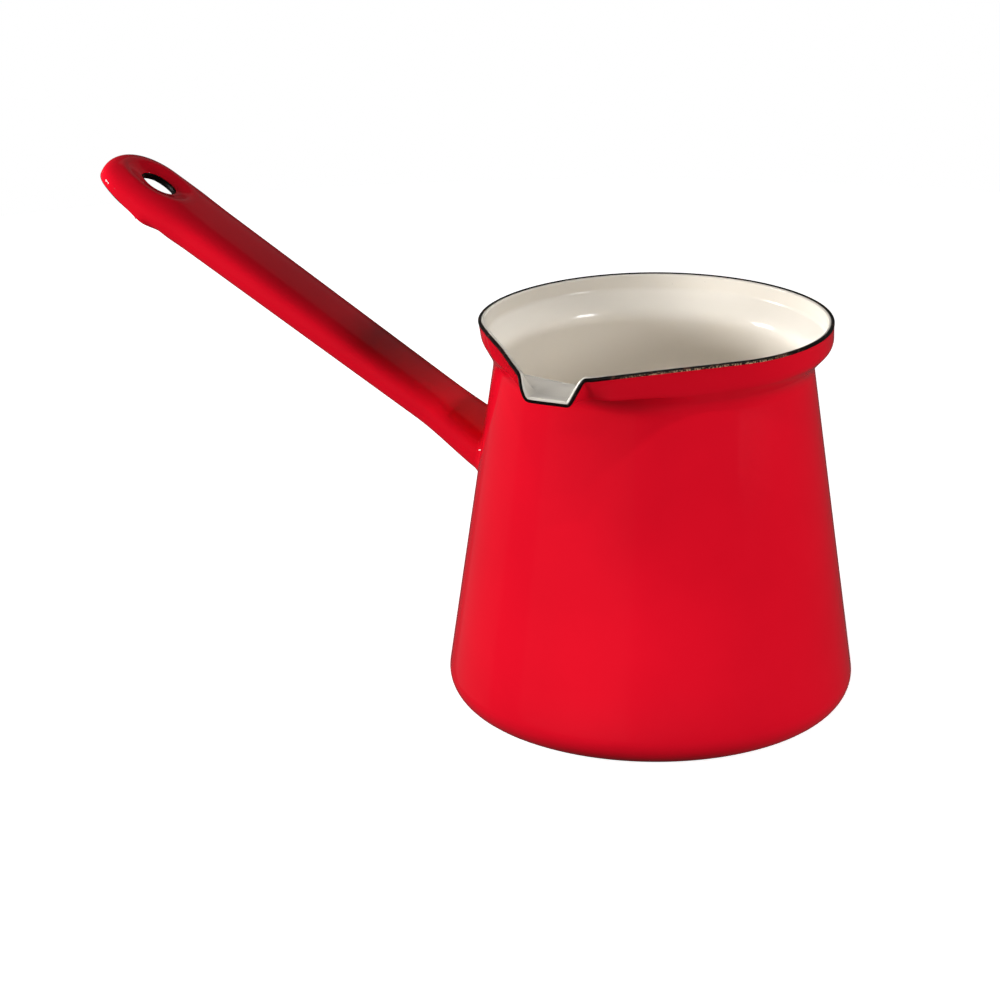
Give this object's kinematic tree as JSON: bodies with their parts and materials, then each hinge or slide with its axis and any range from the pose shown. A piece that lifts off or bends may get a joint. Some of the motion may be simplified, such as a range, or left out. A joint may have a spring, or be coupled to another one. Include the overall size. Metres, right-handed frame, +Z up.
{
  "type": "turkish coffee pot",
  "caption": "Enamelled steel coffee pot with a tapered body, flared collar, pressed pouring lip and long hollow handle with a hanging slot.",
  "frame": {"origin": "centre of the flat base, on the surface that the pot stands on", "axes": "+Z up through the mouth, -Y towards the pouring lip, -X along the handle's side"},
  "size_m": [0.2163, 0.1092, 0.1243],
  "materials": {
    "red_enamel": "gloss vitreous enamel",
    "cream_enamel": "gloss vitreous enamel",
    "black_enamel": "gloss vitreous enamel"
  },
  "bodies": {
    "root": {"pot_shell": "red_enamel", "enamel_lining": "cream_enamel", "rim_edge": "black_enamel", "handle_shell": "red_enamel", "handle_root_weld": "red_enamel", "handle_seam_weld": "red_enamel", "handle_tip_edge": "black_enamel", "slot_edge": "black_enamel"}
  },
  "joints": []
}
